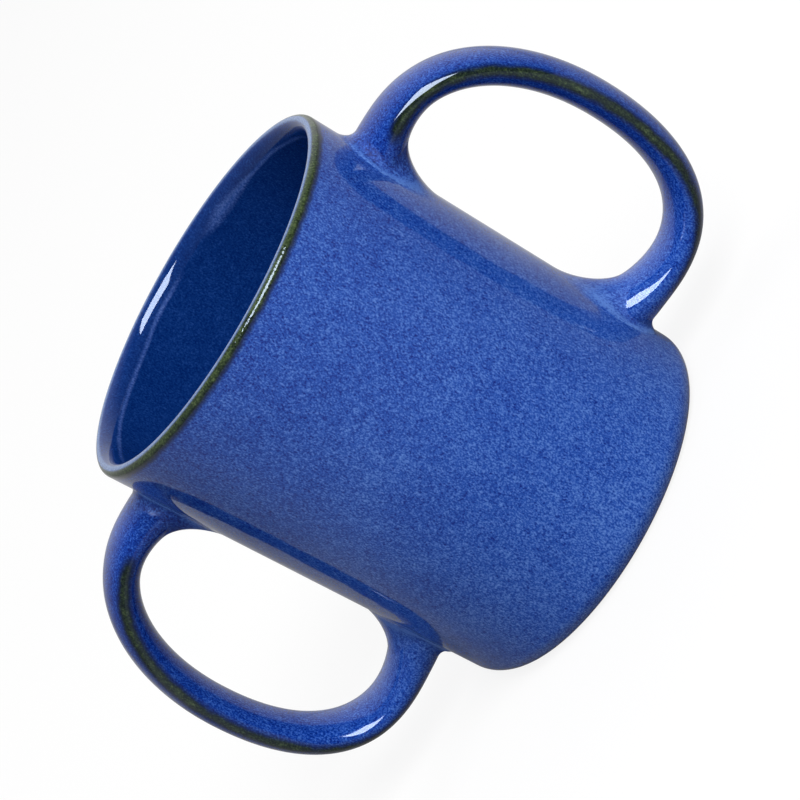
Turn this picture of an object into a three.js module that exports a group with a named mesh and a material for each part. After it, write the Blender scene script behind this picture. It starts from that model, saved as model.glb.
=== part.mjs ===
// A two-handled stoneware mug: a turned cup, two looped strap handles, and the slip that lutes them on.
// Millimetres, +Z up. The origin is the middle of the foot ring, on the table, and the handles lie along X.
import * as THREE from "three";

// Cup body
const cupHeight = 96.5;
const rimRadius = 42; // outside, where the wall meets the lip
const baseRadius = 40; // outside, where the wall meets the bottom corner
const lipRadius = 1.55; // the lip's outer shoulder
const lipEase = 4.6; // how far down the inside the lip eases into the wall
const rimWall = 4.05; // the wall's thickness under the lip
const baseWall = 4.6; // the wall's thickness at the bottom
const floorThickness = 4.5;
const bottomCornerRadius = 5.6; // outside
const insideCornerRadius = 8;
const footRingWidth = 3.8; // the flat that stands on the table
const footRecess = 2.5; // how far the underside is hollowed within the foot ring

// Handles, as an oval strap along a line that leaves the wall, loops out and comes back
const upperRootDrop = 17.2; // the upper root, below the top of the lip
const lowerRootHeight = 18.6; // the lower root, above the table
const fingerRoom = 30.6; // between the wall and the inside of the loop, where the loop is furthest out
const loopDroop = 2.5; // how far the furthest point lies below the middle of the two roots
const upperLeavingAngle = 25; // degrees that the line rises as it leaves the upper root
const lowerLeavingAngle = 27; // degrees that the line falls as it leaves the lower root
const upperPull = 19.8; // how far the line holds its direction out of the upper root
const lowerPull = 20.7; // and out of the lower root
const shoulderPull = 25.4; // how far it holds upright above its furthest point
const hipPull = 29; // and below it
const gripThickness = 7.6;
const gripWidth = 16.5;
const rootThickness = 12.4; // where the strap was thickened to be pressed on to the wall
const rootFlareLength = 20; // how far along the line the thickening runs out
const saddleLength = 11; // how far beyond the slip the section turns from the wall's shape to square

// Slip joints
const slipBed = 0.8; // between the wall and the handle's end
const outerFilletRadius = 3.2; // smoothed round each root, on the outside of the loop
const sideFilletRadius = 1.6; // on the strap's two sides
const innerFilletRadius = 8.4; // and inside the loop, where it is fullest
const featherEdge = 0.3; // the slip's thickness where it runs out on the strap
const slipGap = 0.1; // clear all round the slip

// Glaze
const cupColour = 0x2e51a4;
const handleColour = 0x1c3f8e;
const lutingColour = 0x24479a;
const glazeRoughness = 0.2;

// Fineness of the round surfaces
const turnedFacets = 56;
const arcSteps = 6;
const strapFacets = 20;
const strapSteps = 30;
const pocketSteps = 2;
const capShares = [0.25, 0.5, 0.75]; // rings that close a saddle-shaped end, as shares of its outline

const lipCentre = cupHeight - lipRadius;
const floorTop = footRecess + floorThickness;

// The cup's outside radius at a height on its straight wall.
function wallRadius(height) {
  const share = (height - bottomCornerRadius) / (lipCentre - bottomCornerRadius);
  return THREE.MathUtils.lerp(baseRadius, rimRadius, share);
}

// The cup, turned from a section that runs from the middle of its underside, out, up, over the lip and down
// to the middle of its floor.
function cupGeometry() {
  const footOuter = baseRadius - bottomCornerRadius;
  const footInner = footOuter - footRingWidth;
  const insideRadius = baseRadius - baseWall;
  const insideCorner = new THREE.Vector2(insideRadius - insideCornerRadius, floorTop + insideCornerRadius);
  const lipCrest = rimRadius - lipRadius;
  const quarter = Math.PI / 2;
  const section = new THREE.Path();
  section.moveTo(0, footRecess);
  section.lineTo(footInner - footRecess, footRecess);
  section.absarc(footInner - footRecess, 0, footRecess, quarter, 0, true);
  section.lineTo(footOuter, 0);
  section.absarc(footOuter, bottomCornerRadius, bottomCornerRadius, -quarter, 0);
  section.lineTo(rimRadius, lipCentre);
  section.absarc(lipCrest, lipCentre, lipRadius, 0, quarter);
  section.absellipse(lipCrest, cupHeight - lipEase, rimWall - lipRadius, lipEase, quarter, 2 * quarter);
  section.lineTo(insideRadius, insideCorner.y);
  section.absarc(insideCorner.x, insideCorner.y, insideCornerRadius, 0, -quarter, true);
  section.lineTo(0, floorTop);
  const outline = section.getPoints(arcSteps / 2); // a path takes twice as many steps on its arcs
  return new THREE.LatheGeometry(outline, turnedFacets).rotateX(quarter);
}

// The middle line of the strap, outward and up, from its upper root round to its lower root.
function strapLine() {
  const rise = THREE.MathUtils.degToRad(upperLeavingAngle);
  const fall = THREE.MathUtils.degToRad(lowerLeavingAngle);
  const upperHeight = cupHeight - upperRootDrop;
  const furthestHeight = (upperHeight + lowerRootHeight) / 2 - loopDroop;
  const furthestOut = wallRadius(furthestHeight) + fingerRoom + gripThickness / 2;
  const upperRoot = new THREE.Vector2(wallRadius(upperHeight), upperHeight);
  const lowerRoot = new THREE.Vector2(wallRadius(lowerRootHeight), lowerRootHeight);
  const furthest = new THREE.Vector2(furthestOut, furthestHeight);
  const outOfUpper = new THREE.Vector2(Math.cos(rise), Math.sin(rise)).multiplyScalar(upperPull);
  const outOfLower = new THREE.Vector2(Math.cos(fall), -Math.sin(fall)).multiplyScalar(lowerPull);
  const shoulder = new THREE.Vector2(furthestOut, furthestHeight + shoulderPull);
  const hip = new THREE.Vector2(furthestOut, furthestHeight - hipPull);
  const line = new THREE.CurvePath();
  line.add(new THREE.CubicBezierCurve(upperRoot, outOfUpper.add(upperRoot), shoulder, furthest));
  line.add(new THREE.CubicBezierCurve(furthest, hip, outOfLower.add(lowerRoot), lowerRoot));
  return line;
}

const strap = strapLine();
const strapLength = strap.getLength();

const strapAngles = Array.from({ length: strapFacets }, (_, facet) => (2 * Math.PI * facet) / strapFacets);

// The fillet's radius at an angle round the strap, which is 0 outside the loop and half a turn inside it.
function filletRadius(angle) {
  const endRadius = Math.cos(angle) > 0 ? outerFilletRadius : innerFilletRadius;
  return THREE.MathUtils.lerp(sideFilletRadius, endRadius, Math.cos(angle) ** 2);
}

// How far the slip reaches out from the wall at an angle round the strap.
function filletTop(angle) {
  return slipGap + filletRadius(angle);
}

// A point on the strap's oval outline, at a distance along its line and an angle round it. The outline may
// be grown all round, or drawn in to a share of itself. At a root it lies in the curve of the wall, and
// further along it turns square to the line.
function strapPoint(along, angle, grow, share) {
  const centre = strap.getPoint(along / strapLength);
  const heading = strap.getTangent(along / strapLength);
  const fromRoot = Math.min(along, strapLength - along);
  const flare = (1 - Math.min(fromRoot / rootFlareLength, 1)) ** 2;
  const halfThickness = THREE.MathUtils.lerp(gripThickness, rootThickness, flare) / 2 + grow;
  const halfWidth = gripWidth / 2 + grow;
  const across = halfThickness * share * Math.cos(angle);
  const side = halfWidth * share * Math.sin(angle);
  const square = new THREE.Vector3(centre.x - heading.y * across, side, centre.y + heading.x * across);
  const saddleStart = filletTop(angle);
  const onWall = 1 - THREE.MathUtils.smoothstep(fromRoot, saddleStart, saddleStart + saddleLength);
  if (onWall === 0) {
    return square;
  }
  const height = centre.y + across / heading.x;
  const fromWall = centre.x - wallRadius(centre.y);
  const wall = Math.sqrt(wallRadius(height) ** 2 - side ** 2);
  return square.lerp(new THREE.Vector3(wall + fromWall, side, height), onWall);
}

// The strap's outline, with its distance along the line and its growth given for each angle.
function strapRing(alongAt, growAt, share = 1) {
  return strapAngles.map((angle) => strapPoint(alongAt(angle), angle, growAt(angle), share));
}

// A closed skin over rings of points in order, drawn together to one point at each end.
function loft(rings) {
  const first = rings[0][0];
  const last = rings.at(-1)[0];
  const between = rings.slice(1, -1);
  const count = between[0].length;
  const end = between.length * count + 1;
  const at = (ring, point) => ring * count + (point % count) + 1;
  const faces = [];
  for (let point = 0; point < count; point++) {
    faces.push(0, at(0, point), at(0, point + 1));
    for (let ring = 0; ring < between.length - 1; ring++) {
      faces.push(at(ring, point), at(ring + 1, point), at(ring, point + 1));
      faces.push(at(ring, point + 1), at(ring + 1, point), at(ring + 1, point + 1));
    }
    faces.push(end, at(between.length - 1, point + 1), at(between.length - 1, point));
  }
  const geometry = new THREE.BufferGeometry().setFromPoints([first, ...between.flat(), last]);
  geometry.setIndex(faces);
  geometry.computeVertexNormals();
  return geometry;
}

function evenShares(steps) {
  return Array.from({ length: steps + 1 }, (_, step) => step / steps);
}

// The rings of a saddle-shaped end from its middle outwards, without its outline.
function capRings(along, growAt) {
  return [0, ...capShares].map((share) => strapRing(() => along, growAt, share));
}

// How far the strap's rings in the slip lie from the wall, from the strap's end to the top of the fillet.
function rootDepths() {
  return evenShares(pocketSteps).map((share) => {
    return (angle) => THREE.MathUtils.lerp(slipBed, filletTop(angle), share);
  });
}

// The strap between its two beds of slip.
function handleGeometry() {
  const plain = () => 0;
  const fromLower = (depthAt) => (angle) => strapLength - depthAt(angle);
  const depths = rootDepths();
  const rings = capRings(slipBed, plain);
  rings.push(...depths.map((depthAt) => strapRing(depthAt, plain)));
  for (const share of evenShares(strapSteps).slice(1, -1)) {
    const alongAt = (angle) => {
      return THREE.MathUtils.lerp(filletTop(angle), strapLength - filletTop(angle), share);
    };
    rings.push(strapRing(alongAt, plain));
  }
  rings.push(...depths.reverse().map((depthAt) => strapRing(fromLower(depthAt), plain)));
  rings.push(...capRings(strapLength - slipBed, plain).reverse());
  return loft(rings);
}

// The slip at one root: the bed on the wall, the fillet round the root, and the pocket for the strap's end.
function lutingRings(alongFromWall) {
  const ringAt = (depthAt, growAt) => strapRing((angle) => alongFromWall(depthAt(angle)), growAt);
  const edge = (angle) => filletRadius(angle) + featherEdge;
  const rings = capRings(alongFromWall(slipGap), edge);
  for (const share of evenShares(arcSteps)) {
    const turn = (Math.PI / 2) * share;
    const depthAt = (angle) => slipGap + filletRadius(angle) * (1 - Math.cos(turn));
    const growAt = (angle) => featherEdge + filletRadius(angle) * (1 - Math.sin(turn));
    rings.push(ringAt(depthAt, growAt));
  }
  const clear = () => slipGap;
  rings.push(...rootDepths().reverse().map((depthAt) => ringAt(depthAt, clear)));
  const pocketFloor = () => slipBed - slipGap;
  rings.push(ringAt(pocketFloor, clear));
  rings.push(...capRings(alongFromWall(pocketFloor()), clear).reverse());
  return rings;
}

function upperLutingGeometry() {
  return loft(lutingRings((depth) => depth));
}

// The line runs into the wall here, so the rings are taken from the pocket to the wall.
function lowerLutingGeometry() {
  return loft(lutingRings((depth) => strapLength - depth).reverse());
}

function glazedMesh(name, geometry, color) {
  const glaze = new THREE.MeshStandardMaterial({ color, roughness: glazeRoughness, metalness: 0 });
  const mesh = new THREE.Mesh(geometry, glaze);
  mesh.name = name;
  return mesh;
}

const mug = new THREE.Group();
mug.add(glazedMesh("cup_body", cupGeometry(), cupColour));
const sides = { right: 0, left: Math.PI }; // each handle's turn about the cup's axis
for (const [side, turn] of Object.entries(sides)) {
  const handle = new THREE.Group();
  handle.rotation.z = turn;
  handle.add(glazedMesh(`${side}_handle`, handleGeometry(), handleColour));
  handle.add(glazedMesh(`${side}_upper_luting`, upperLutingGeometry(), lutingColour));
  handle.add(glazedMesh(`${side}_lower_luting`, lowerLutingGeometry(), lutingColour));
  mug.add(handle);
}

export default mug;
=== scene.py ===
"""The looks of a two-handled stoneware mug: glazed cup, looped strap handles and their smoothed roots.

Metres, +Z up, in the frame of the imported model. The handles lie along X.
"""
import math

import bpy
import numpy as np
from mathutils import Color, Matrix, Vector


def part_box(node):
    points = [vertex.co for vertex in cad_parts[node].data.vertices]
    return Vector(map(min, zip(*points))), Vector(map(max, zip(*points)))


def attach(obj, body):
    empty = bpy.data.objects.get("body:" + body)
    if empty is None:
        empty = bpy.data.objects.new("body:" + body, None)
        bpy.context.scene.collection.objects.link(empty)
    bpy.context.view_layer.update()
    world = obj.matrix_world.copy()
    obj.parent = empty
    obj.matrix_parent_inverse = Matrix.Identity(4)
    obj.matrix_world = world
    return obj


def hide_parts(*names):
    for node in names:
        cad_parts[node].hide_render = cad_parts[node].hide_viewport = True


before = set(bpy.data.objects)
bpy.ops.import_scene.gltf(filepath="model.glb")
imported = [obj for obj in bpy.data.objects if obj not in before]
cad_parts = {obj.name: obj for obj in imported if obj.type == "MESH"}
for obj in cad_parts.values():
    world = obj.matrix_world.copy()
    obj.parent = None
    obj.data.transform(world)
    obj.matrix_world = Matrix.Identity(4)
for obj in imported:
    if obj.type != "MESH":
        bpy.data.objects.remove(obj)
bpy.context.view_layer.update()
MM = 0.001

# Cup, with its height and rim taken from the frame
_, cup_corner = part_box("cup_body")
cup_height = cup_corner.z
rim_radius = cup_corner.x
base_radius = 40 * MM
lip_radius = 1.55 * MM  # the lip's outer shoulder
lip_ease = 4.6 * MM  # how far the inside of the lip runs down before it is as thick as the wall
rim_wall = 4.05 * MM
base_wall = 4.6 * MM
floor_thickness = 4.5 * MM
bottom_corner_radius = 5.6 * MM
inside_corner_radius = 8 * MM
foot_ring_width = 3.8 * MM
foot_recess = 2.5 * MM

# Handles, as an oval strap along a line from the upper root out and round to the lower root
upper_root_drop = 17.2 * MM
lower_root_height = 18.6 * MM
finger_room = 30.6 * MM
loop_droop = 2.5 * MM  # how far the furthest point lies below the middle of the two roots
upper_leaving_angle = math.radians(25)
lower_leaving_angle = math.radians(27)
upper_pull = 19.8 * MM  # lengths of the curves' control arms, at the two roots
lower_pull = 20.7 * MM
shoulder_pull = 25.4 * MM  # and above and below the furthest point
hip_pull = 29 * MM
grip_thickness = 7.6 * MM
grip_width = 16.5 * MM
root_thickness = 12.4 * MM
root_flare_length = 20 * MM
saddle_length = 11 * MM  # how far beyond the fillet the strap's outline still follows the round wall
root_sink = 1.5 * MM  # how far the strap runs into the wall
side_turn = 0.35  # how soon round the strap its side is reached, as a squared sine

# Slip smoothed round each root
outer_fillet = 3.2 * MM  # on the outside of the loop
side_fillet = 1.6 * MM  # on the strap's two sides
inner_fillet = 8.4 * MM  # and inside the loop, where it is fullest
apron = 1 * MM  # how far the slip's skin runs on beyond the fillet, just under the neighbour's surface
apron_sink = 0.03 * MM
back_depth = 3 * MM  # how deep inside the strap the slip's hidden back lies
seam_height = 0.24 * MM  # a fine ridge of slip along the strap's sides, close to the wall
seam_place = 0.32  # as shares of the fillet, from the wall to the strap
seam_spread = 0.19
seam_highlight_paleness = 0.3  # how much paler the glaze is painted on it, a painted highlight along the ridge
strap_colour_start = 0.1  # where the cup's colour begins to turn into the strap's, and where it is done
strap_colour_full = 0.5
smear_full = 0.4  # where the smoothing strokes are full

# Fineness of the meshes
cup_segments = 288
arc_points = 20
foot_points = 5
wall_points = 60
line_points = 400
strap_stations = 200
strap_segments = 72
fillet_points = 24
floor_segments = 96

# Where the glaze changes over the lip, and where a reflection is painted on its crest, along the cup's
# section from the lip's crest outwards
inside_full = 0.2 * MM  # the inside's colour, which runs a little over the crest
inside_edge = 0.9 * MM
thin_inner_edge = 0.25 * MM  # the thin olive band
thin_inner_full = 1.0 * MM
thin_outer_full = 1.55 * MM
thin_outer_edge = 3.4 * MM
crest_reflection_inner_edge = -0.9 * MM  # painted reflection: the pale line on the crest itself
crest_reflection_inner_full = -0.2 * MM
crest_reflection_outer_full = 0.35 * MM
crest_reflection_outer_edge = 1.0 * MM
crest_reflection_strength = 0.7
foot_clay_height = 0.5 * MM  # the foot ring's clay is bare up to here

# A painted reflection: a pale line below the lip on the inside
lip_reflection_depth = 3.7 * MM
lip_reflection_width = 0.75 * MM
lip_reflection_wander = 1.6 * MM
lip_reflection_strength = 0.9
lip_reflection_start = 3 * MM  # to either side of the middle, where it begins and is full
lip_reflection_full = 11 * MM
lip_reflection_swell_place = 12 * MM  # on the right it starts broad
lip_reflection_swell_reach = 11 * MM
lip_reflection_swell_width = 2.1 * MM

# The thin glaze along the strap's two edges, which starts at the middle of the edge and moves outwards
ridge_lean = 0.16  # as a share of half the thickness towards the outside of the loop
ridge_lean_length = 30 * MM
ridge_drift = 0.45  # how much further out it moves on the lower half
ridge_drift_start = 0.58  # as shares of the line
ridge_drift_end = 0.92
ridge_outer_spread = 0.32
ridge_inner_spread = 0.42
ridge_strength = 0.8
ridge_low_strength = 0.52
ridge_start = 3.5 * MM  # along the strap's line from the upper root
ridge_full = 10 * MM
ridge_late = 6 * MM  # how much further along it begins on one of the two edges
ridge_end = 0.84
gather_length = 34 * MM  # how far above the lower root the glaze gathers and pales
gather_share = 0.7
smear_length = 6 * MM  # how far the smoothing strokes run on along the strap
matt_length = 2.2 * MM  # and the matt slip on its sides

# The glaze's flecks, stretched a little down the wall as it ran in the kiln
run_share = 0.68
grain_size = 0.34 * MM
grain_roughness = 0.6
grain_weight = 1.3
curd_size = 1.3 * MM
curd_weight = 0.3
cloud_size = 14 * MM
cloud_weight = 0.18
foot_paleness = 0.09  # how much paler the glaze is painted at the foot than at the rim
wisp_size = 1.7 * MM  # strokes left where the slip was smoothed
wisp_curl = 2.5
wisp_weight = 0.9
patch_size = 4.5 * MM  # how the thin glaze varies along an edge
patch_weight = 0.8
fleck_detail = 2
noise_roughness = 0.5
noise_middle = 0.5

# How thin the glaze is where each colour takes over, with a ragged edge
ragged_curd = 0.3
ragged_grain = 0.15
navy_steps = (0.3, 0.68)
dark_olive_steps = (0.58, 0.92)
olive_steps = (0.92, 1.28)

# The glaze's surface
wobble_size = 9 * MM
wobble_height = 0.12 * MM
bead_size = 0.6 * MM  # small beads on the lip's thin glaze
bead_height = 0.5  # as a share of the wobble's height
smooth_detail = 1
glaze_ior = 1.45
glaze_tint = (0.66, 0.78, 1.0, 1.0)  # what the glaze mirrors is a little blue
gloss_roughness = 0.045
slip_roughness = 0.75
clay_roughness = 0.85

# Display colours of the dark, middle and pale flecks, which lie at these places in the noise
fleck_places = (0.2, 0.5, 0.8)
cup_shades = ((0, 16, 114), (33, 78, 171), (90, 130, 204))
strap_shades = ((0, 14, 94), (16, 57, 147), (62, 106, 190))
inside_shades = ((2, 32, 94), (9, 45, 110), (28, 66, 136))
# colours of the painted reflection inside the lip
lip_reflection_shades = ((30, 60, 130), (58, 88, 156), (90, 116, 178))
navy_shades = ((2, 14, 56), (10, 30, 84), (34, 62, 128))
dark_olive_shades = ((10, 19, 20), (24, 36, 30), (50, 64, 46))
olive_shades = ((26, 36, 20), (56, 71, 42), (90, 105, 68))
# colours of the painted reflection on the lip's crest
crest_reflection_shades = ((80, 108, 158), (112, 140, 184), (146, 168, 206))
clay_shades = ((148, 118, 92), (176, 146, 116), (192, 166, 138))
display_white = 255
white = (1.0, 1.0, 1.0, 1.0)

# World: its light on the mug, and what a reflection shows of the room
fill_level = 0.28
room_levels = (0.14, 0.36)  # on the right and on the left
room_sides = (0.2, -0.9)  # as the sideways part of a direction
backdrop_level = 1.2  # behind the mug
backdrop_azimuth = math.radians(162)
backdrop_elevation = math.radians(38)
backdrop_steps = (0.35, 1.15)  # agreement with its direction, at its edge and where it would be full

# Floor
floor_radius = 3.0
floor_white = 0.88  # the share of plain white in the floor that the camera sees
floor_shades = (0.28, 0.9)  # the floor's grey as it lights the mug, and as the camera sees it
floor_gleams = (0.36, 0.64)  # how bright the floor is in a reflection, behind the mug and in front of it
floor_gleam_places = (0.14, -0.1)
foot_shadow_place = (0.0, -0.03, 0.0)  # the middle of the painted shadow on the floor round the foot, seen only in reflections
foot_shadow_reach = (0.07, 0.21)
foot_shadow_level = 0.05
floor_shade_places = ((0.2, 0.0, 0.0), (-0.145, 0.148, 0.0), (-0.25, 0.05, 0.0))  # painted shade on the floor beside the mug, seen only in reflections
floor_shade_reach = 0.16
floor_shade_level = 0.14

# Lamps: a soft key panel, its mirror image in the glaze, which is nearer and turned, and a panel above
key_azimuth = math.radians(30)
key_elevation = math.radians(44)
key_width = 1.25
key_height = 0.78
key_distance = 2.0
key_power = 43.0
gleam_height = 0.98
gleam_distance = 1.92
gleam_power = 94.0
gleam_turn = math.radians(15)  # about its own direction, which tapers the highlights
top_azimuth = math.radians(180)
top_elevation = math.radians(62)
top_width = 1.2
top_height = 0.9
top_distance = 1.2
top_power = 5.0

# Camera, from the photo's view: the mug is upright and the picture is turned
camera_azimuth = math.radians(9.101)
camera_elevation = math.radians(17.332)
camera_roll = math.radians(-60.617)
camera_distance = 735.55 * MM
aim_right = 0.696 * MM
aim_height = 48.205 * MM
sensor_width = 36.0
focal_share = 4.4285  # the focal length as a share of the picture's width

# Sizes that follow
lip_crest = rim_radius - lip_radius  # the radius at the top of the lip
lip_centre = cup_height - lip_radius
floor_top = foot_recess + floor_thickness


def wall_radius(height):
    """The cup's outside radius at a height on its straight wall."""
    share = (height - bottom_corner_radius) / (lip_centre - bottom_corner_radius)
    return base_radius + (rim_radius - base_radius) * share


def smoothstep(value, low, high):
    share = np.clip((value - low) / (high - low), 0, 1)
    return share * share * (3 - 2 * share)


def mesh_object(name, points, faces, attributes):
    """A smooth-shaded object from points and faces, with a float attribute for each named list."""
    mesh = bpy.data.meshes.new(name)
    mesh.from_pydata([tuple(point) for point in points], [], faces)
    mesh.update()
    for layer_name, values in attributes.items():
        layer = mesh.attributes.new(layer_name, "FLOAT", "POINT")
        layer.data.foreach_set("value", np.asarray(values, np.float32))
    mesh.polygons.foreach_set("use_smooth", np.ones(len(mesh.polygons), bool))
    piece = bpy.data.objects.new(name, mesh)
    bpy.context.scene.collection.objects.link(piece)
    return piece


def tube_faces(rings, count, closed=False):
    """Quads between rings of count points each, and from the last ring to the first if closed."""
    faces = []
    for ring in range(rings if closed else rings - 1):
        here = ring * count
        there = ((ring + 1) % rings) * count
        for point in range(count):
            after = (point + 1) % count
            faces.append((here + point, there + point, there + after, here + after))
    return faces


# Cup body

def arc(centre, across, up, start, end):
    """Points of an oval's arc in the plane of radius and height, between two angles in degrees."""
    angles = np.radians(np.linspace(start, end, arc_points))
    return np.c_[centre[0] + across * np.cos(angles), centre[1] + up * np.sin(angles)]


def straight(start, end, count):
    """Points along a straight line, without its two ends."""
    shares = np.linspace(0, 1, count + 2)[1:-1, None]
    return np.array(start) + (np.array(end) - np.array(start)) * shares


def cup_section():
    """The cup's section from the middle of its underside, out, up, over the lip and down to its floor."""
    foot_outer = base_radius - bottom_corner_radius
    foot_inner = foot_outer - foot_ring_width
    inside_radius = base_radius - base_wall
    recess = arc((foot_inner - foot_recess, 0), foot_recess, foot_recess, 90, 0)
    corner_centre = (foot_outer, bottom_corner_radius)
    corner = arc(corner_centre, bottom_corner_radius, bottom_corner_radius, -90, 0)
    shoulder = arc((lip_crest, lip_centre), lip_radius, lip_radius, 0, 90)
    ease = arc((lip_crest, cup_height - lip_ease), rim_wall - lip_radius, lip_ease, 90, 180)
    bowl_centre = (inside_radius - inside_corner_radius, floor_top + inside_corner_radius)
    bowl = arc(bowl_centre, inside_corner_radius, inside_corner_radius, 0, -90)
    runs = [
        straight((0, foot_recess), recess[0], arc_points),
        recess,
        straight(recess[-1], corner[0], foot_points),
        corner,
        straight(corner[-1], shoulder[0], wall_points),
        shoulder,
        ease[1:],
        straight(ease[-1], bowl[0], wall_points),
        bowl,
        straight(bowl[-1], (0, floor_top), arc_points),
    ]
    return np.vstack(runs)


def make_cup():
    section = cup_section()
    turns = np.linspace(0, 2 * math.pi, cup_segments, endpoint=False)
    radius, height = section.T
    points = np.stack(
        [
            radius[:, None] * np.cos(turns),
            radius[:, None] * np.sin(turns),
            np.broadcast_to(height[:, None], (len(section), cup_segments)),
        ],
        axis=-1,
    ).reshape(-1, 3)
    faces = tube_faces(len(section), cup_segments)
    faces = [face[::-1] for face in faces]
    underside = len(points)
    floor = underside + 1
    points = np.vstack([points, (0, 0, foot_recess), (0, 0, floor_top)])
    last = (len(section) - 1) * cup_segments
    for turn in range(cup_segments):
        after = (turn + 1) % cup_segments
        faces.append((underside, after, turn))
        faces.append((floor, last + turn, last + after))

    # How far each ring lies from the lip's crest along the section, outwards
    along = np.r_[0, np.cumsum(np.linalg.norm(np.diff(section, axis=0), axis=1))]
    from_crest = along[np.argmax(height)] - along
    thin = smoothstep(from_crest, thin_inner_edge, thin_inner_full)
    thin *= 1 - smoothstep(from_crest, thin_outer_full, thin_outer_edge)
    # a painted reflection: a pale line along the lip's crest
    crest_reflection = crest_reflection_strength * smoothstep(from_crest, crest_reflection_inner_edge, crest_reflection_inner_full)
    crest_reflection *= 1 - smoothstep(from_crest, crest_reflection_outer_full, crest_reflection_outer_edge)
    rings = {
        "inside": 1 - smoothstep(from_crest, inside_full, inside_edge),
        "below_lip": np.where(from_crest < 0, cup_height - height, 0),
        "thin": thin,
        "crest_reflection": crest_reflection,
        "bare": height < foot_clay_height,
    }
    attributes = {}
    for key, values in rings.items():
        whole = np.repeat(np.asarray(values, float), cup_segments)
        attributes[key] = np.r_[whole, whole[0], whole[-1]]
    return mesh_object("cup_body_glazed", points, faces, attributes)


# Handles

def bezier(points, shares):
    """A cubic curve through the first and last of four points, and its direction, at shares from 0 to 1."""
    first, second, third, fourth = (np.array(point) for point in points)
    at = shares[:, None]
    rest = 1 - at
    place = rest**3 * first + 3 * rest**2 * at * second + 3 * rest * at**2 * third + at**3 * fourth
    way = rest**2 * (second - first) + 2 * rest * at * (third - second) + at**2 * (fourth - third)
    return place, way


def strap_line():
    """Closely spaced points and headings of the strap's middle line, outward and up, from root to root."""
    upper_height = cup_height - upper_root_drop
    furthest_height = (upper_height + lower_root_height) / 2 - loop_droop
    furthest_out = wall_radius(furthest_height) + finger_room + grip_thickness / 2
    upper_root = np.array((wall_radius(upper_height), upper_height))
    lower_root = np.array((wall_radius(lower_root_height), lower_root_height))
    rise = np.array((math.cos(upper_leaving_angle), math.sin(upper_leaving_angle)))
    fall = np.array((math.cos(lower_leaving_angle), -math.sin(lower_leaving_angle)))
    furthest = np.array((furthest_out, furthest_height))
    shares = np.linspace(0, 1, line_points)
    upper = bezier(
        (upper_root, upper_root + upper_pull * rise, furthest + (0, shoulder_pull), furthest), shares
    )
    lower = bezier(
        (furthest, furthest - (0, hip_pull), lower_root + lower_pull * fall, lower_root), shares
    )
    place = np.vstack([upper[0], lower[0][1:]])
    way = np.vstack([upper[1], lower[1][1:]])
    way /= np.linalg.norm(way, axis=1)[:, None]
    along = np.r_[0, np.cumsum(np.linalg.norm(np.diff(place, axis=0), axis=1))]
    return along, place, way


line_along, line_place, line_way = strap_line()
strap_length = line_along[-1]

# Round the strap's outline: outside the loop at an angle of 0, and inside it at half a turn
strap_angles = np.linspace(0, 2 * math.pi, strap_segments, endpoint=False)
end_fillet = np.where(np.cos(strap_angles) > 0, outer_fillet, inner_fillet)
strap_fillet = side_fillet + (end_fillet - side_fillet) * np.cos(strap_angles) ** 2
strap_side = smoothstep(np.sin(strap_angles) ** 2, 0, side_turn)  # 1 on the strap's two sides


def strap_ring(along, grow=0.0, sink=0.0):
    """The strap's oval outline at a distance along its line, grown all round, or sunk towards the wall.

    The distance and the growth may differ round the outline. The line runs on straight past its roots.
    """
    along = np.broadcast_to(along, strap_angles.shape)
    inner = np.clip(along, 0, strap_length)
    heading = np.c_[[np.interp(inner, line_along, line_way[:, axis]) for axis in (0, 1)]].T
    heading /= np.linalg.norm(heading, axis=1)[:, None]
    centre = np.c_[[np.interp(inner, line_along, line_place[:, axis]) for axis in (0, 1)]].T
    centre += heading * (along - inner)[:, None]
    out, up = centre.T
    from_root = np.minimum(along, strap_length - along)
    flare = (1 - np.clip(from_root / root_flare_length, 0, 1)) ** 2
    half_thickness = (grip_thickness + (root_thickness - grip_thickness) * flare) / 2 + grow
    across = half_thickness * np.cos(strap_angles)
    side = (grip_width / 2 + grow) * np.sin(strap_angles)
    square = np.c_[out - heading[:, 1] * across, side, up + heading[:, 0] * across]
    on_wall = 1 - smoothstep(from_root, strap_fillet, strap_fillet + saddle_length)
    if not on_wall.any():
        return square
    height = up + across / heading[:, 0]
    from_wall = out - wall_radius(up) - sink
    saddle = np.c_[np.sqrt(wall_radius(height) ** 2 - side**2) + from_wall, side, height]
    return square + (saddle - square) * on_wall[:, None]


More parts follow.
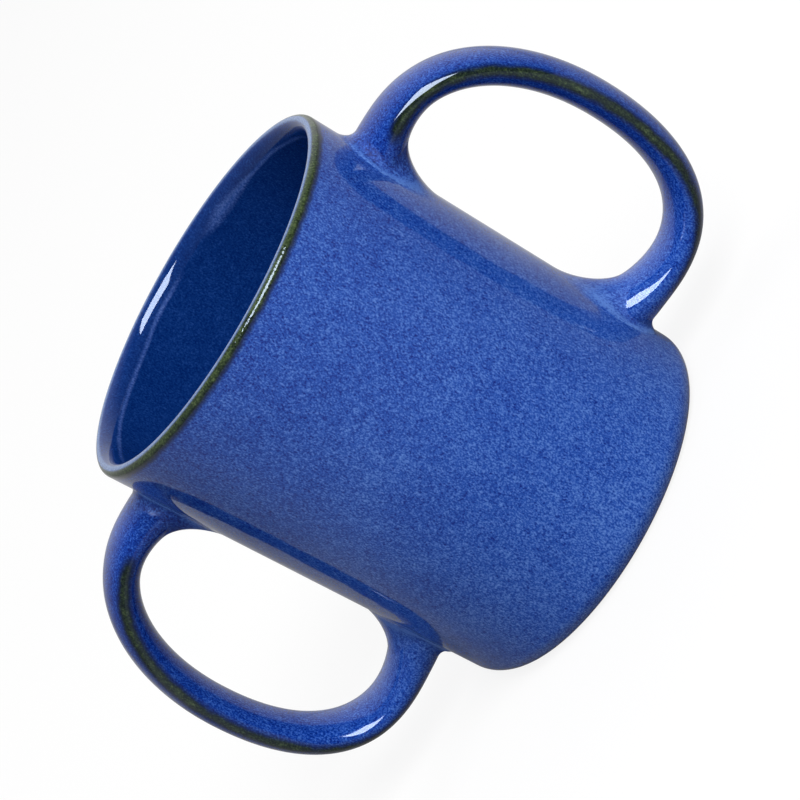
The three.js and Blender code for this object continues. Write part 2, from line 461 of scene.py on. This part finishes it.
def make_handle(side, turn):
    stations = np.linspace(-root_sink, strap_length + root_sink, strap_stations)
    points = np.vstack([strap_ring(along) for along in stations])
    faces = tube_faces(strap_stations, strap_segments)
    last = (strap_stations - 1) * strap_segments
    faces.append(tuple(range(strap_segments)))
    faces.append(tuple(range(last + strap_segments - 1, last - 1, -1)))
    share = stations / strap_length
    low = smoothstep(share, ridge_drift_start, ridge_drift_end)
    lean = ridge_lean * smoothstep(stations, 0, ridge_lean_length) + ridge_drift * low
    off_ridge = np.cos(strap_angles) - lean[:, None]
    ridge = np.exp(-((off_ridge / np.where(off_ridge > 0, ridge_outer_spread, ridge_inner_spread)) ** 2))
    strength = ridge_strength + (ridge_low_strength - ridge_strength) * low
    strength *= 1 - smoothstep(share, ridge_end, 1)
    late = np.where(np.sin(strap_angles) > 0, ridge_late, 0)
    begun = smoothstep(stations[:, None] - late, ridge_start, ridge_full)
    beyond_fillet = stations[:, None] - strap_fillet
    gathered = smoothstep(stations, strap_length - gather_length, strap_length)
    attributes = {
        "thin": (strength[:, None] * begun * ridge).ravel(),
        "strap": np.repeat(1 - gather_share * gathered, strap_segments),
        "smeared": (1 - smoothstep(beyond_fillet, 0, smear_length)).ravel(),
        "matt": ((1 - smoothstep(beyond_fillet, 0, matt_length)) * strap_side).ravel(),
    }
    piece = mesh_object(f"{side}_handle_glazed", points, faces, attributes)
    piece.data.transform(Matrix.Rotation(turn, 4, "Z"))
    return piece


# Slip at the handles' roots

def seam_share(step):
    """How much of the seam's height there is at a share of the way from the wall to the strap."""
    return np.exp(-(((step - seam_place) / seam_spread) ** 2))


def make_luting(side, level, turn):
    """The smoothed slip round one root: a fillet that runs from the wall to the strap, closed behind."""
    def ring(depth, grow, sink=0.0):
        """An outline at a depth along the strap's line from the wall, grown from the strap's own."""
        along = depth if level == "upper" else strap_length - depth
        return strap_ring(along, grow, sink)

    rings = [ring(0, strap_fillet + reach, apron_sink) for reach in (apron, apron / 2)]
    strap_share = [0.0, 0.0]
    for step in np.linspace(0, 1, fillet_points):
        angle = step * math.pi / 2
        seam = seam_height * seam_share(step) * strap_side
        depth = strap_fillet * (1 - math.cos(angle)) + seam * math.cos(angle)
        grow = strap_fillet * (1 - math.sin(angle)) + seam * math.sin(angle)
        rings.append(ring(depth, grow))
        strap_share.append(step)
    rings += [
        ring(strap_fillet + apron / 2, -apron_sink),
        ring(strap_fillet + apron, -apron_sink),
        ring(strap_fillet + apron, -back_depth),
        ring(-root_sink, -back_depth),
        ring(-root_sink, strap_fillet),
    ]
    strap_share += [1.0, 1.0, 1.0, 0.0, 0.0]
    points = np.vstack(rings)
    faces = tube_faces(len(rings), strap_segments, closed=True)
    share = np.repeat(strap_share, strap_segments)
    strap = smoothstep(share, strap_colour_start, strap_colour_full)
    smeared = smoothstep(share, 0, smear_full)
    attributes = {
        "strap": strap,
        "smeared": smeared,
        "matt": smeared * np.tile(strap_side, len(rings)),
        # the seam's share, which also carries the painted highlight along the ridge
        "seam": np.outer(seam_share(np.array(strap_share)), strap_side).ravel(),
    }
    if level == "lower":
        faces = [face[::-1] for face in faces]
        attributes["strap"] = strap * (1 - gather_share)
        attributes["smeared"] = np.sin(math.pi * smeared)
    piece = mesh_object(f"{side}_{level}_luting_glazed", points, faces, attributes)
    piece.data.transform(Matrix.Rotation(turn, 4, "Z"))
    return piece


# Shader nodes

mix_sockets = {"FLOAT": (2, 3, 0), "RGBA": (6, 7, 2)}  # a mix node's two inputs and its result, by kind


def add_node(tree, kind, inputs=None, **settings):
    """A shader node with its settings, and a value or a link for each input, by name or number."""
    node = tree.nodes.new(f"ShaderNode{kind}")
    for key, value in settings.items():
        setattr(node, key, value)
    for key, value in (inputs or {}).items():
        if isinstance(value, bpy.types.NodeSocket):
            tree.links.new(value, node.inputs[key])
        else:
            node.inputs[key].default_value = value
    return node


def calculate(tree, operation, *values):
    return add_node(tree, "Math", dict(enumerate(values)), operation=operation).outputs["Value"]


def added(tree, total, *others):
    for other in others:
        total = calculate(tree, "ADD", total, other)
    return total


def swing(tree, value, weight):
    """How far a noise swings to either side of its middle, by its weight."""
    return calculate(tree, "MULTIPLY_ADD", value, weight, -noise_middle * weight)


def mix(tree, kind, share, first, second):
    """The first value or colour at a share of 0, the second at 1, and a mix between."""
    first_at, second_at, result_at = mix_sockets[kind]
    node = add_node(tree, "Mix", {"Factor": share, first_at: first, second_at: second}, data_type=kind)
    return node.outputs[result_at]


def step_share(tree, value, low, high):
    """A smooth step from 0 to 1 as the value goes from low to high."""
    inputs = {"Value": value, "From Min": low, "From Max": high}
    return add_node(tree, "MapRange", inputs, interpolation_type="SMOOTHSTEP").outputs["Result"]


def distance(tree, place, point):
    return add_node(tree, "VectorMath", {0: place, 1: point}, operation="DISTANCE").outputs["Value"]


def attribute(tree, name):
    """A piece's attribute, which is 0 on a piece without it."""
    return add_node(tree, "Attribute", attribute_name=name).outputs["Fac"]


def noise(tree, place, size, detail=fleck_detail, roughness=noise_roughness, curl=0.0):
    """Noise whose lumps are about the given size across."""
    inputs = {
        "Vector": place,
        "Scale": 1 / size,
        "Detail": detail,
        "Roughness": roughness,
        "Distortion": curl,
    }
    return add_node(tree, "TexNoise", inputs).outputs["Fac"]


def fleck_colour(tree, value, shades):
    """The colour for a noise's value, from the display colours of the dark, middle and pale flecks."""
    node = add_node(tree, "ValToRGB", {"Fac": value})
    elements = node.color_ramp.elements
    elements.new(noise_middle)
    for element, place, shade in zip(elements, fleck_places, shades):
        element.position = place
        linear = Color([level / display_white for level in shade]).from_srgb_to_scene_linear()
        element.color = (*linear, 1.0)
    return node.outputs["Color"]


def ray_kinds(tree):
    """Whether a ray comes from the camera, and whether it comes off gloss or through glass."""
    path = add_node(tree, "LightPath").outputs
    mirrored = calculate(tree, "MAXIMUM", path["Is Glossy Ray"], path["Is Transmission Ray"])
    return path["Is Camera Ray"], mirrored


# Glaze

def painted_lip_reflection(tree, across, cloud):
    """How much the painted reflection, a pale line inside the lip, shows: not at all in the middle, and
    broadly on the right.
    """
    below_lip = attribute(tree, "below_lip")
    off_line = added(tree, below_lip, swing(tree, cloud, lip_reflection_wander), -lip_reflection_depth)
    off_swell = added(tree, across, -lip_reflection_swell_place)
    narrow = step_share(tree, calculate(tree, "ABSOLUTE", off_swell), 0.0, lip_reflection_swell_reach)
    width = mix(tree, "FLOAT", narrow, lip_reflection_swell_width, lip_reflection_width)
    off_line = calculate(tree, "DIVIDE", calculate(tree, "ABSOLUTE", off_line), width)
    on_line = calculate(tree, "MULTIPLY", step_share(tree, off_line, 1.0, 0.0), lip_reflection_strength)
    begun = step_share(tree, calculate(tree, "ABSOLUTE", across), lip_reflection_start, lip_reflection_full)
    return calculate(tree, "MULTIPLY", on_line, begun)


def make_glaze():
    material = bpy.data.materials.new("cobalt_glaze")
    material.use_nodes = True
    tree = material.node_tree
    shader = tree.nodes["Principled BSDF"]
    place = add_node(tree, "TexCoord").outputs["Object"]
    axes = add_node(tree, "SeparateXYZ", {"Vector": place}).outputs
    run = add_node(tree, "Mapping", {"Vector": place, "Scale": (1, 1, run_share)}).outputs["Vector"]
    grain = noise(tree, run, grain_size, roughness=grain_roughness)
    curd = noise(tree, run, curd_size)
    cloud = noise(tree, place, cloud_size)
    wisp = swing(tree, noise(tree, place, wisp_size, curl=wisp_curl), wisp_weight)
    mottle = added(
        tree,
        noise_middle,
        swing(tree, grain, grain_weight),
        swing(tree, curd, curd_weight),
        swing(tree, cloud, cloud_weight),
        # paler towards the foot
        swing(tree, calculate(tree, "DIVIDE", axes["Z"], cup_height), -foot_paleness),
        calculate(tree, "MULTIPLY", wisp, attribute(tree, "smeared")),
        # a painted highlight along the slip's seam ridge
        calculate(tree, "MULTIPLY", attribute(tree, "seam"), seam_highlight_paleness),
    )

    # Where the glaze is thin, in patches and with a ragged edge
    patch = added(tree, swing(tree, noise(tree, place, patch_size), patch_weight), 1.0)
    ragged = added(
        tree,
        calculate(tree, "MULTIPLY", attribute(tree, "thin"), patch),
        calculate(tree, "MULTIPLY", curd, ragged_curd),
        calculate(tree, "MULTIPLY", grain, ragged_grain),
    )

    # Colours, each laid over the ones before it
    bare = attribute(tree, "bare")
    layers = (
        (attribute(tree, "strap"), strap_shades),
        (attribute(tree, "inside"), inside_shades),
        # a painted reflection: the pale line inside the lip
        (painted_lip_reflection(tree, axes["X"], cloud), lip_reflection_shades),
        (step_share(tree, ragged, *navy_steps), navy_shades),
        (step_share(tree, ragged, *dark_olive_steps), dark_olive_shades),
        (step_share(tree, ragged, *olive_steps), olive_shades),
        # a painted reflection along the lip's crest
        (attribute(tree, "crest_reflection"), crest_reflection_shades),
        (bare, clay_shades),
    )
    glazed = fleck_colour(tree, mottle, cup_shades)
    for share, shades in layers:
        glazed = mix(tree, "RGBA", share, glazed, fleck_colour(tree, mottle, shades))
    tree.links.new(glazed, shader.inputs["Base Color"])

    # Gloss, which is lost on the smoothed slip and on bare clay
    rough = mix(tree, "FLOAT", attribute(tree, "matt"), gloss_roughness, slip_roughness)
    tree.links.new(mix(tree, "FLOAT", bare, rough, clay_roughness), shader.inputs["Roughness"])
    shader.inputs["IOR"].default_value = glaze_ior
    shader.inputs["Specular Tint"].default_value = glaze_tint

    # A wobble all over, and beads on the lip
    on_lip = calculate(tree, "SUBTRACT", attribute(tree, "thin"), attribute(tree, "strap"))
    on_lip = calculate(tree, "MAXIMUM", on_lip, 0.0)
    beads = calculate(tree, "MULTIPLY", noise(tree, place, bead_size, smooth_detail), on_lip)
    wobble = noise(tree, place, wobble_size, smooth_detail)
    surface = calculate(tree, "MULTIPLY_ADD", beads, bead_height, wobble)
    bump = add_node(tree, "Bump", {"Height": surface, "Strength": 1.0, "Distance": wobble_height})
    tree.links.new(bump.outputs["Normal"], shader.inputs["Normal"])
    return material


# Stage: world, floor, lamps and camera

def way_to(azimuth, elevation):
    """The direction of a place that lies round from the front towards +X, and up from level."""
    return Vector((
        math.sin(azimuth) * math.cos(elevation),
        -math.cos(azimuth) * math.cos(elevation),
        math.sin(elevation),
    ))


def make_world():
    """White for the camera, and in reflections a dim room with a bright backdrop behind the mug."""
    world = bpy.data.worlds.new("studio")
    world.use_nodes = True
    tree = world.node_tree
    background = tree.nodes["Background"]
    from_camera, mirrored = ray_kinds(tree)
    direction = add_node(tree, "TexCoord").outputs["Generated"]
    backdrop_way = way_to(backdrop_azimuth, backdrop_elevation)
    facing = add_node(tree, "VectorMath", {0: direction, 1: backdrop_way}, operation="DOT_PRODUCT")
    behind = step_share(tree, facing.outputs["Value"], *backdrop_steps)
    across = add_node(tree, "SeparateXYZ", {"Vector": direction}).outputs["X"]
    room = mix(tree, "FLOAT", step_share(tree, across, *room_sides), *room_levels)
    mirror = mix(tree, "FLOAT", behind, room, backdrop_level)
    level = mix(tree, "FLOAT", mirrored, fill_level, mirror)
    level = mix(tree, "FLOAT", from_camera, level, 1.0)
    tree.links.new(level, background.inputs["Strength"])
    background.inputs["Color"].default_value = white
    bpy.context.scene.world = world


def make_floor():
    """A pale matte floor, brought to white for the camera apart from a soft shadow."""
    turns = np.linspace(0, 2 * math.pi, floor_segments, endpoint=False)
    points = floor_radius * np.c_[np.cos(turns), np.sin(turns), np.zeros(floor_segments)]
    floor = mesh_object("studio_floor", points, [tuple(range(floor_segments))], {})
    material = bpy.data.materials.new("pale_floor")
    material.use_nodes = True
    tree = material.node_tree
    tree.nodes.remove(tree.nodes["Principled BSDF"])
    from_camera, mirrored = ray_kinds(tree)
    matte = add_node(tree, "BsdfDiffuse", {"Color": mix(tree, "FLOAT", from_camera, *floor_shades)})
    glow = add_node(tree, "Emission", {"Color": white, "Strength": 1.0})
    place = add_node(tree, "TexCoord").outputs["Object"]
    forward = add_node(tree, "SeparateXYZ", {"Vector": place}).outputs["Y"]
    gleam = mix(tree, "FLOAT", step_share(tree, forward, *floor_gleam_places), *floor_gleams)
    # a painted shadow on the floor round the foot, seen only in reflections
    beyond = step_share(tree, distance(tree, place, foot_shadow_place), *foot_shadow_reach)
    gleam = mix(tree, "FLOAT", beyond, foot_shadow_level, gleam)
    # painted shade on the floor beside the mug, seen only in reflections
    for shade_spot in floor_shade_places:
        beyond = step_share(tree, distance(tree, place, shade_spot), 0.0, floor_shade_reach)
        gleam = calculate(tree, "MULTIPLY", gleam, mix(tree, "FLOAT", beyond, floor_shade_level, 1.0))
    glowing = calculate(tree, "MULTIPLY", mirrored, gleam)
    glowing = mix(tree, "FLOAT", from_camera, glowing, floor_white)
    mixed = add_node(tree, "MixShader", {0: glowing, 1: matte.outputs[0], 2: glow.outputs[0]})
    tree.links.new(mixed.outputs[0], tree.nodes["Material Output"].inputs["Surface"])
    floor.data.materials.append(material)


def make_lamp(name, azimuth, elevation, away, width, height, power, turn=0.0):
    """A soft panel that faces the mug, turned about the direction in which it faces."""
    light = bpy.data.lights.new(name, "AREA")
    light.shape = "RECTANGLE"
    light.size = width
    light.size_y = height
    light.energy = power
    lamp = bpy.data.objects.new(name, light)
    way = way_to(azimuth, elevation)
    lamp.location = Vector((0, 0, cup_height / 2)) + way * away
    facing = way.to_track_quat("Z", "Y").to_matrix() @ Matrix.Rotation(turn, 3, "Z")
    lamp.rotation_euler = facing.to_euler()
    bpy.context.scene.collection.objects.link(lamp)
    return lamp


def make_lamps():
    key_way = (key_azimuth, key_elevation)
    key = make_lamp("key_panel", *key_way, key_distance, key_width, key_height, key_power)
    key.visible_glossy = False
    gleam = make_lamp(
        "key_gleam", *key_way, gleam_distance, key_width, gleam_height, gleam_power, gleam_turn
    )
    gleam.visible_diffuse = False
    top_way = (top_azimuth, top_elevation)
    top = make_lamp("top_panel", *top_way, top_distance, top_width, top_height, top_power)
    top.visible_glossy = False


def make_camera():
    back = way_to(camera_azimuth, camera_elevation)
    level = Vector((math.cos(camera_azimuth), math.sin(camera_azimuth), 0))
    upright = back.cross(level)
    right = math.cos(camera_roll) * level + math.sin(camera_roll) * upright
    up = math.cos(camera_roll) * upright - math.sin(camera_roll) * level
    place = aim_right * level + Vector((0, 0, aim_height)) + camera_distance * back
    lens = bpy.data.cameras.new("photo_camera")
    lens.sensor_width = sensor_width
    lens.lens = focal_share * sensor_width
    camera = bpy.data.objects.new("photo_camera", lens)
    camera.matrix_world = Matrix.Translation(place) @ Matrix((right, up, back)).transposed().to_4x4()
    bpy.context.scene.collection.objects.link(camera)
    bpy.context.scene.camera = camera


# The whole scene

glaze = make_glaze()


def dress(piece, node):
    piece.data.materials.append(glaze)
    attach(piece, "root")
    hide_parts(node)


dress(make_cup(), "cup_body")
for side, turn in (("right", 0), ("left", math.pi)):
    dress(make_handle(side, turn), f"{side}_handle")
    for level in ("upper", "lower"):
        dress(make_luting(side, level, turn), f"{side}_{level}_luting")

make_world()
make_floor()
make_lamps()
make_camera()
bpy.context.scene.view_settings.view_transform = "Standard"
